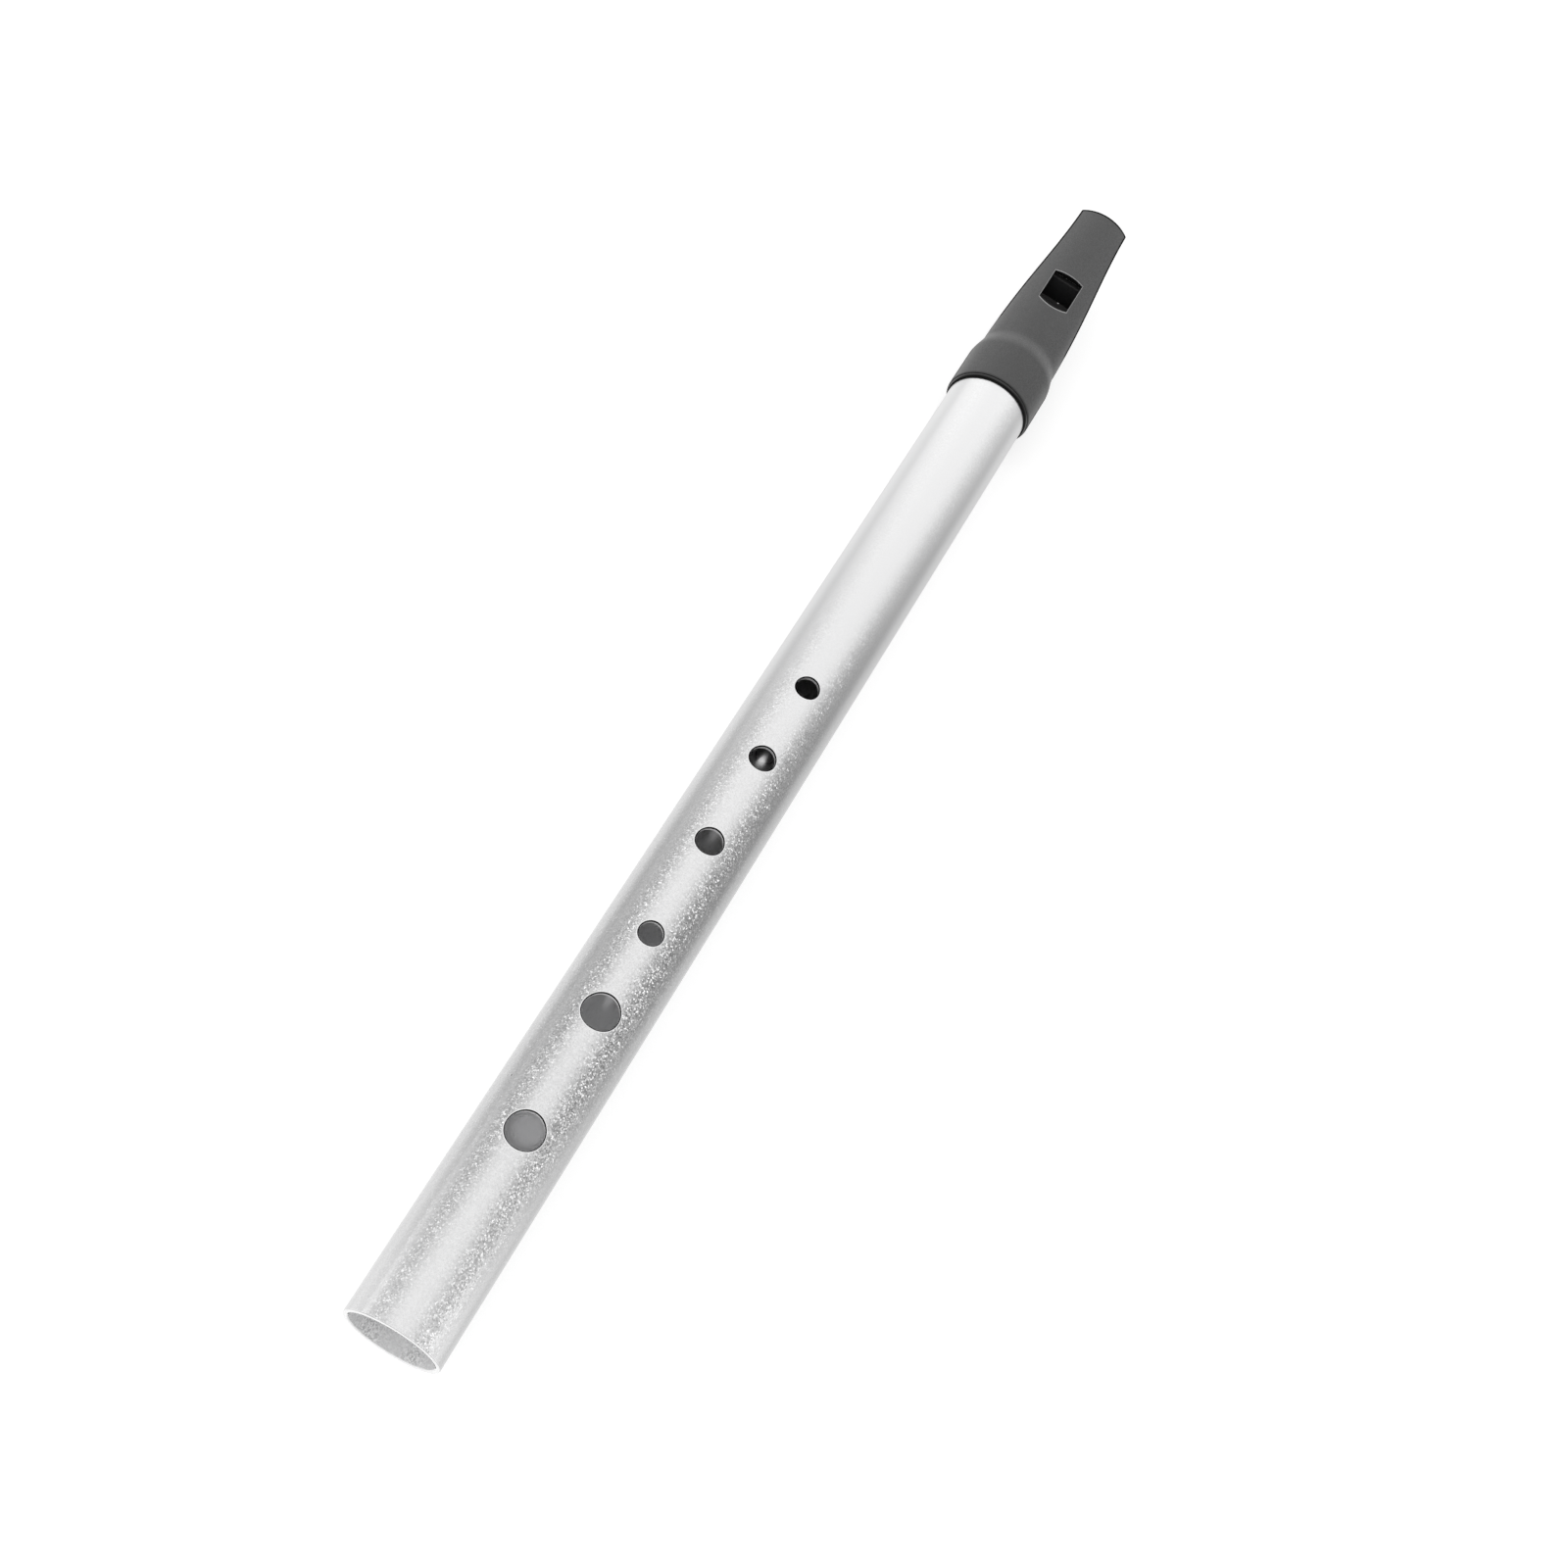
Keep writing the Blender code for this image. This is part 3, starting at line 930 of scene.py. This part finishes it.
def facets(graph, position, size, even, rare):
    """Small facets, size in mm, each with its own lean: a little (even) everywhere, a lot
    (rare) on a few. Returns the lean, its amount and three random values per facet."""
    cells = graph.add(
        "ShaderNodeTexVoronoi", {"Scale": 1000.0 / size, "Vector": position}, feature="F1"
    )
    lean = graph.vector("SUBTRACT", cells.outputs["Color"], (0.5, 0.5, 0.5))
    dice = graph.add(
        "ShaderNodeTexWhiteNoise", {"Vector": cells.outputs["Position"]}, noise_dimensions="3D"
    )
    rarity = 5.0
    chance = graph.math("POWER", dice.outputs["Value"], rarity)
    amount = graph.plus(graph.times(chance, rare), even)
    return lean, amount, graph.add("ShaderNodeSeparateColor", {0: dice.outputs["Color"]}).outputs


def lean_normal(graph, lean, amount):
    normal = graph.add("ShaderNodeNewGeometry").outputs["Normal"]
    total = graph.vector("ADD", normal, graph.vector("SCALE", lean, scale=amount))
    return graph.vector("NORMALIZE", total)


def mark(graph, position, at, radius, tone):
    """1 everywhere but in one small mark, where it is tone. at is (station, y, z)."""
    middle = (place(at[0]), at[1] * MM, at[2] * MM)
    away = graph.vector("DISTANCE", position, middle)
    return graph.remap(away, span=(radius * 0.6 * MM, radius * 1.2 * MM), to=(tone, 1.0))


def round_the_tube(graph, axes, level, bands):
    """level, plus a bump for each band: (degrees from the top towards +Y, width, height)."""
    if not bands:
        return level
    degrees = 180.0 / math.pi
    angle = graph.times(graph.math("ARCTAN2", axes[1], axes[2]), degrees)
    total = level
    for centre, width, height in bands:
        off = graph.math("DIVIDE", graph.minus(angle, centre), width)
        bump = graph.math("EXPONENT", graph.times(graph.times(off, off), -1.0))
        total = graph.plus(graph.times(bump, height), total)
    return total


# ------------------------------------------------------------------ aluminium
def aluminium(
    name, grain, rough, fade=(0.0, 1.0), tint=0.755, drawn=0.0, metallic=1.0,
    grain_level=1.0, bands=(), foot_tone=1.09, deep_tone=1.0, spot=None, polish=None,
):
    """Blasted metal. grain and rough go from their first value to their second between the
    fade stations. foot_tone scales the colour at the foot and deep_tone beyond the fifth
    hole; a deep_tone below 1 is painted shade, darker deeper in the bore. spot is a toned
    mark and polish a bare, shiny patch."""
    material, graph, shader = node_material(name)
    position = graph.add("ShaderNodeTexCoord").outputs["Object"]
    shader.inputs["Metallic"].default_value = metallic
    axes = graph.split(position)
    x = axes[0]
    fading = graph.along(x, stations=fade)

    lean, amount, dice = facets(graph, position, size=0.25, even=0.18, rare=1.30)
    lean_share = (0.30, 1.0, 1.0)                    # the facets lean less along the tube
    around = graph.vector("MULTIPLY", lean, lean_share)
    strength = graph.plus(graph.times(fading, grain[1] - grain[0]), grain[0])
    strength = graph.times(strength, round_the_tube(graph, axes, grain_level, bands))
    # the grain is weaker over the last few centimetres to the foot
    strength = graph.times(strength, graph.along(x, stations=(10.0, 45.0), to=(0.62, 1.0)))
    leaning = graph.vector("SCALE", around, scale=graph.times(amount, strength))
    graph.feed(shader.inputs["Normal"], lean_normal(graph, leaning, amount=1.0))

    # slow cloud in the finish, and faint lines from drawing the tube
    cloud = graph.noise(position, scale=55.0, detail=2.0, roughness=0.5)
    stretch = graph.add("ShaderNodeMapping", {"Scale": (6.0, 900.0, 900.0), "Vector": position})
    lines = graph.noise(stretch.outputs[0], scale=1.0, detail=2.0, roughness=0.5)
    roughness = graph.plus(graph.times(fading, rough[1] - rough[0]), rough[0])
    roughness = graph.plus(roughness, graph.remap(cloud, span=NOISE_SPAN, to=(-0.006, 0.006)))
    roughness = graph.plus(roughness, graph.remap(lines, span=NOISE_SPAN, to=(-drawn, drawn)))
    if polish:
        bare_metal = 0.95
        bare = mark(graph, position, tone=bare_metal / metallic, **polish)
        graph.feed(shader.inputs["Metallic"], graph.times(bare, metallic))
        roughness = graph.times(roughness, mark(graph, position, tone=0.6, **polish))
    graph.feed(shader.inputs["Roughness"], roughness)

    # each pit left by the beads is darker or paler than its neighbours; in the bands where the light
    # makes glints this speckle is far stronger, painted glints
    speckle_contrast = 21.0
    pit_and_glint_speckle = graph.times(graph.minus(dice[0], 0.5), graph.times(strength, speckle_contrast))
    shade = graph.mix_colours(
        (tint - 0.012, tint - 0.012, tint - 0.009, 1),
        (tint + 0.012, tint + 0.012, tint + 0.015, 1),
        factor=graph.plus(pit_and_glint_speckle, 0.5),
    )
    # the tone drifts over the first few centimetres from the foot
    foot = graph.along(x, stations=(4.0, 48.0), to=(foot_tone, 1.0))
    pale = graph.vector("SCALE", shade, scale=foot)
    # deep_tone below 1 paints shade: the colour darkens deeper in the bore
    tone = graph.along(x, stations=(92.0, 146.0), to=(1.0, deep_tone))
    if spot:
        tone = graph.times(tone, mark(graph, position, **spot))
    graph.feed(shader.inputs["Base Color"], graph.vector("SCALE", pale, scale=tone))
    return material


# ------------------------------------------------------------------ plastic
def painted_outline_shade(graph, position):
    """Painted shade as dark outlines: 1 on the open faces, near 0 where the surface turns away,
    along the beak's corners and round the mouth end."""
    x = graph.split(position)[0]
    geometry = graph.add("ShaderNodeNewGeometry")
    across = (0.0, 1.0, 1.0)                         # leaves out the part along the whistle
    normal, incoming = (
        graph.vector("NORMALIZE", graph.vector("MULTIPLY", geometry.outputs[name], across))
        for name in ("Normal", "Incoming")
    )
    facing = graph.math("ABSOLUTE", graph.vector("DOT_PRODUCT", normal, incoming))
    turned = graph.remap(facing, span=(0.13, 0.20), to=(1.0, 0.0))
    end_facing = graph.math("ABSOLUTE", graph.split(geometry.outputs["Normal"])[0])
    on_the_side = graph.remap(end_facing, span=(0.30, 0.60), to=(1.0, 0.0))
    gap = graph.add("ShaderNodeAttribute", attribute_name="corner_gap").outputs["Fac"]
    corner = graph.times(
        graph.remap(gap, span=(0.28, 0.42), to=(1.0, 0.0)),
        graph.along(x, stations=(250.0, 255.0)),
    )
    # the corner's line only shows from above or below: it goes as the eye comes to the side
    sideways = graph.math("ABSOLUTE", graph.split(incoming)[1])
    corner = graph.times(corner, graph.remap(sideways, span=(0.30, 0.50), to=(1.0, 0.0)))
    mouth = graph.along(x, stations=(LENGTH - 0.64, LENGTH - 0.52))
    line = graph.math("MAXIMUM", graph.math("MAXIMUM", corner, mouth), turned)
    darkness = 0.95
    return graph.minus(1.0, graph.times(graph.times(line, on_the_side), darkness))


def plastic(
    name, colour, rough, lean=0.10, vary=0.06, specular=0.5, painted_outlines=False, spot=None
):
    """Black moulded plastic: a fine spark-eroded texture and slow changes in sheen.
    lean is the texture's strength and vary the change in tone."""
    material, graph, shader = node_material(name)
    position = graph.add("ShaderNodeTexCoord").outputs["Object"]
    tilt, amount, dice = facets(graph, position, size=0.16, even=lean, rare=lean * 1.5)
    graph.feed(shader.inputs["Normal"], lean_normal(graph, tilt, amount))
    broad = graph.noise(position, scale=110.0, detail=3.0, roughness=0.5)
    flow = graph.noise(position, scale=420.0, detail=3.0, roughness=0.55)

    sheen = graph.plus(
        graph.remap(broad, span=NOISE_SPAN, to=(rough - 0.02, rough + 0.02)),
        graph.remap(dice[0], span=(0.0, 1.0), to=(-0.02, 0.02)),
    )
    graph.feed(shader.inputs["Roughness"], sheen)
    tone = graph.plus(
        graph.remap(broad, span=NOISE_SPAN, to=(1.0 - vary, 1.0 + vary)),
        graph.remap(flow, span=NOISE_SPAN, to=(-vary * 0.6, vary * 0.6)),
    )
    tone = graph.plus(tone, graph.remap(dice[2], span=(0.0, 1.0), to=(-vary, vary)))
    shader.inputs["IOR"].default_value = 1.50
    shader.inputs["Specular IOR Level"].default_value = specular
    if painted_outlines:
        keep = painted_outline_shade(graph, position)
        tone = graph.times(tone, keep)
        # in the painted outlines the shine goes a little before the colour does
        steepness = 1.3
        shine = graph.minus(graph.times(keep, steepness), 0.3)
        shine = graph.math("MAXIMUM", shine, 0.0)
        graph.feed(shader.inputs["Specular IOR Level"], graph.times(shine, specular))
    if spot:
        tone = graph.times(tone, mark(graph, position, **spot))
    black = (0.0, 0.0, 0.0, 1)
    shade = graph.mix_colours(black, (*colour, 1), factor=tone)
    graph.feed(shader.inputs["Base Color"], shade)
    return material


# ------------------------------------------------------------------ materials, in slot order
TUBE_MATERIALS = (
    aluminium(
        "blasted_aluminium", grain=(1.0, 0.12), rough=(0.19, 0.31), fade=(70.0, 165.0),
        # the bands lie where the light makes glints: stronger bumps there, and glints painted into the
        # colour speckle
        grain_level=0.22, bands=((-30.0, 14.0, 1.25), (25.0, 11.0, 0.75)),
        spot=dict(at=(45.28, 6.91, 5.77), radius=0.14, tone=0.12),
    ),
    aluminium(
        "drawn_bore", grain=(3.2, 0.0), rough=(0.24, 0.20), fade=(6.0, 14.0), tint=0.95,
        drawn=0.015, metallic=0.15, grain_level=0.15,
        # the bands lie where the light makes glints inside the bore: stronger bumps there, and glints
        # painted into the colour speckle
        bands=((147.0, 17.0, 0.60), (-147.0, 15.0, 0.50)), foot_tone=0.90, deep_tone=0.55,
        # the spot is a painted pool of light on the bore's floor just beyond the first hole
        spot=dict(at=(43.6, -0.3, -7.99), radius=3.0, tone=1.65),
        polish=dict(at=(132.3, 0.2, -8.0), radius=2.6),
    ),
    # the tube's cut ends: drawn near white and hardly metallic, partly bare cut metal, partly a painted
    # highlight
    aluminium(
        "cut_ends_and_painted_highlight", grain=(0.15, 0.15), rough=(0.27, 0.27), tint=0.93, metallic=0.25
    ),
    # painted highlight: a pale, hardly metallic ring round each hole
    aluminium(
        "painted_highlight_round_a_hole", grain=(0.05, 0.05), rough=(0.30, 0.30), tint=0.95,
        metallic=0.20,
    ),
    plastic(
        "darkened_edge", colour=(0.006, 0.006, 0.006), rough=0.50, lean=0.03, specular=0.0
    ),
)
HEAD_MATERIALS = (
    # painted shade: dark outlines where the surface turns away, along the beak's corners and round the
    # mouth end
    plastic("satin_black_moulding", colour=(0.052, 0.052, 0.0525), rough=0.38, painted_outlines=True),
    # painted shade: the ramp, the window's walls and the windway drawn near black with almost no shine
    plastic(
        "window_painted_shade_and_glint", colour=(0.006, 0.006, 0.006), rough=0.30, lean=0.03,
        # the spot is a painted glint on the blade's edge
        specular=0.05, spot=dict(at=(262.55, -0.90, 7.21), radius=0.21, tone=140.0),
    ),
    # painted shade: the socket, chamber and pocket inside the head drawn darker than the outside
    plastic(
        "chamber_painted_shade", colour=(0.020, 0.020, 0.020), rough=0.45, lean=0.05, specular=0.3
    ),
    # painted highlight: the rounded edges of the window and the mouth drawn pale grey
    plastic("painted_highlight_on_edges", colour=(0.30, 0.30, 0.302), rough=0.30, lean=0.05, vary=0.12),
    # painted shade: the mouth end's rounded edge drawn black without shine
    plastic(
        "painted_shade_round_the_mouth", colour=(0.004, 0.004, 0.004), rough=0.40, lean=0.04, specular=0.0
    ),
)
SLEEVE_MATERIALS = (
    plastic("gloss_black_ring", colour=(0.006, 0.006, 0.006), rough=0.14, lean=0.02),
    # painted shade: the ring's nose drawn black with little shine, for the shade where the ring meets
    # the tube
    plastic("ring_nose_painted_shade", colour=(0.002, 0.002, 0.002), rough=0.30, lean=0.02, specular=0.12),
)
BLOCK_MATERIAL = plastic("black_plug", colour=(0.030, 0.030, 0.031), rough=0.42, specular=0.25)

# ------------------------------------------------------------------ pieces on their bodies
tube = build_tube(TUBE_MATERIALS)
sleeve = build_sleeve(SLEEVE_MATERIALS)
head = build_head(HEAD_MATERIALS)
block = build_block(BLOCK_MATERIAL)

# piece, body it rides on, CAD piece it replaces, slot
for piece, body, cad_piece, slot in (
    (tube, "tube", "body_tube", "tube"),
    (sleeve, "sleeve", "tuning_sleeve", "sleeve"),
    (head, "head", "head_shell", "head"),
    (block, "head", "fipple_block", "block"),
):
    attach(piece, body)
    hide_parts(cad_piece)


# ------------------------------------------------------------------ floor
def build_floor():
    """A plane tilted so that the whistle rests on its foot and on the socket."""
    half = 4.0                                       # metres
    clearance = 0.00002                              # metres
    foot_x, foot_z = place(0.2), -TUBE_RADIUS * MM
    socket_x, socket_z = place(HEAD_START + 0.3), -SOCKET_RADIUS * MM
    mesh = bpy.data.meshes.new("floor")
    corners = [(-half, -half, 0), (half, -half, 0), (half, half, 0), (-half, half, 0)]
    mesh.from_pydata(corners, [], [(0, 1, 2, 3)])
    ob = bpy.data.objects.new("floor", mesh)
    scene.collection.objects.link(ob)
    ob.rotation_euler = (0, -math.atan((socket_z - foot_z) / (socket_x - foot_x)), 0)
    ob.location = (foot_x, 0, foot_z - clearance)
    return ob


floor = build_floor()


# ------------------------------------------------------------------ light: a white tent with dark flags
# azimuth from +X towards +Y and elevation in degrees, half width, half height, depth:
# two shape the whistle from the foot end, two from the sides
FLAGS = (
    (-59.6, 9.0, 0.275, 0.70, 0.77),
    (64.5, 13.0, 0.242, 0.69, 0.60),
    (-112.0, 18.0, 0.40, 0.30, 0.60),
    (112.0, 18.0, 0.40, 0.30, 0.60),
)
HORIZON_LEVEL, SKY_FALL = 1.44, -0.42                # sky brightness, and its change to the zenith
GLOW = 0.31                                          # extra brightness low over +X
FLOOR_LEVEL = 1.12                                   # brightness of what lies below the horizon


def patch(graph, direction, azimuth, elevation, width, height):
    """1 in the middle of a soft-edged patch of the surroundings, 0 far from it."""
    a, e = math.radians(azimuth), math.radians(elevation)
    centre = Vector((math.cos(e) * math.cos(a), math.cos(e) * math.sin(a), math.sin(e)))
    sideways = Vector((-math.sin(a), math.cos(a), 0.0))
    edge_power = 3.0

    def falloff(axis, size):
        share = graph.math("DIVIDE", graph.vector("DOT_PRODUCT", direction, axis), size)
        return graph.math("POWER", graph.math("ABSOLUTE", share), edge_power)

    total = graph.plus(falloff(sideways, width), falloff(centre.cross(sideways), height))
    fall = graph.math("EXPONENT", graph.times(total, -1.0))
    # only the half of the surroundings towards the patch counts
    towards = graph.vector("DOT_PRODUCT", direction, centre)
    return graph.times(fall, graph.remap(towards, span=(0.0, 0.30)))


def studio(graph, direction):
    """Brightness of the surroundings in a direction."""
    x, y, z = graph.split(direction)
    sky = graph.plus(graph.times(z, SKY_FALL), HORIZON_LEVEL)
    glow = patch(graph, direction, azimuth=0, elevation=16, width=0.65, height=0.35)
    sky = graph.plus(sky, graph.times(glow, GLOW))
    above = graph.math("GREATER_THAN", z, 0.0)
    below = graph.times(graph.minus(1.0, above), FLOOR_LEVEL)
    level = graph.plus(graph.times(sky, above), below)
    for azimuth, elevation, width, height, depth in FLAGS:
        flag = patch(graph, direction, azimuth, elevation, width, height)
        level = graph.times(level, graph.minus(1.0, graph.times(flag, depth)))
    # the floor near the whistle mirrors darker, more so on the -Y side, which keeps the
    # tube's edges grey
    minus_y = graph.times(
        graph.remap(z, span=(-0.66, -0.42), to=(0.27, 0.0)),
        graph.remap(y, span=(-0.30, -0.08), to=(1.0, 0.0)),
    )
    plus_y = graph.times(
        graph.remap(z, span=(-0.70, -0.50), to=(0.15, 0.0)),
        graph.remap(y, span=(0.08, 0.30), to=(0.0, 1.0)),
    )
    level = graph.times(level, graph.minus(1.0, graph.plus(minus_y, plus_y)))
    # what the metal mirrors from behind the foot is dimmer, so that it doesn't burn out
    # from the mouth end
    behind = graph.times(
        graph.remap(x, span=(-0.34, -0.04), to=(0.40, 0.0)), graph.light_path("Is Glossy Ray")
    )
    return graph.times(level, graph.minus(1.0, behind))


def floor_material():
    """A pale glowing floor: mirrors see the studio in it, and it is clear from below."""
    material, graph, shader = node_material("pale_floor")
    for name, value in {
        "Base Color": (0.50, 0.50, 0.50, 1),
        "Roughness": 0.95,
        "Specular IOR Level": 0.0,
        "Emission Color": (1, 1, 1, 1),
        "Emission Strength": 0.69,
    }.items():
        shader.inputs[name].default_value = value
    path = graph.add("ShaderNodeLightPath").outputs
    geometry = graph.add("ShaderNodeNewGeometry").outputs
    away = graph.vector("SCALE", geometry["Incoming"], scale=-1.0)
    seen = graph.add("ShaderNodeEmission", {"Strength": studio(graph, away)}).outputs[0]
    mirrored = graph.add(
        "ShaderNodeMixShader", {0: path["Is Glossy Ray"], 1: shader.outputs[0], 2: seen}
    )
    from_below = graph.times(geometry["Backfacing"], path["Is Camera Ray"])
    transparent = graph.add("ShaderNodeBsdfTransparent").outputs[0]
    clear = graph.add(
        "ShaderNodeMixShader", {0: from_below, 1: mirrored.outputs[0], 2: transparent}
    )
    graph.feed(graph.output.inputs[0], clear.outputs[0])
    return material


def build_world():
    world = bpy.data.worlds.new("studio")
    scene.world = world
    world.use_nodes = True
    graph = Graph(world.node_tree, "ShaderNodeOutputWorld")
    background = graph.add("ShaderNodeBackground", {"Color": (1, 1, 1, 1)})
    graph.feed(graph.output.inputs[0], background.outputs[0])
    direction = graph.add("ShaderNodeTexCoord").outputs["Generated"]
    # the fill from the -Y side is weaker
    fill_cut, camera_white = 0.80, 1.1
    side = patch(graph, direction, azimuth=-80, elevation=10, width=0.9, height=0.8)
    fill = graph.times(side, graph.times(graph.light_path("Is Diffuse Ray"), fill_cut))
    lit = graph.times(studio(graph, direction), graph.minus(1.0, fill))
    # where the camera looks past the floor it sees plain white
    white = graph.times(graph.light_path("Is Camera Ray"), camera_white)
    graph.feed(background.inputs["Strength"], graph.math("MAXIMUM", lit, white))


floor.data.materials.append(floor_material())
build_world()

# ------------------------------------------------------------------ camera
# In the camera's own axes x is right, y down and z forward.
CAMERA_TURN = Vector((2.4583831, -1.3590676, 0.6826002))    # world to camera: axis times radians
FOOT_FROM_CAMERA = Vector((-3.4181313, 4.8548830, 17.1416444))    # in tube diameters
LENS, SENSOR_WIDTH = 45.2603, 36.0                   # mm


def build_camera():
    turn = Matrix.Rotation(CAMERA_TURN.length, 3, CAMERA_TURN.normalized())
    diameter = 2 * TUBE_RADIUS * MM
    position = -(turn.transposed() @ FOOT_FROM_CAMERA) * diameter + Vector((FOOT_X, 0, 0))
    data = bpy.data.cameras.new("camera")
    data.sensor_width = SENSOR_WIDTH
    data.lens = LENS
    data.clip_start, data.clip_end = 0.01, 20
    camera = bpy.data.objects.new("camera", data)
    scene.collection.objects.link(camera)
    axes = Matrix((turn[0], -turn[1], -turn[2])).transposed()
    camera.matrix_world = Matrix.Translation(position) @ axes.to_4x4()
    scene.camera = camera


build_camera()

scene.view_settings.view_transform = "Standard"
scene.view_settings.look = "None"
# light bounces many times along the bore before it comes out of a hole
scene.cycles.max_bounces = 24
scene.cycles.glossy_bounces = 20
scene.cycles.diffuse_bounces = 16

# ------------------------------------------------------------------ finish
bpy.context.view_layer.update()
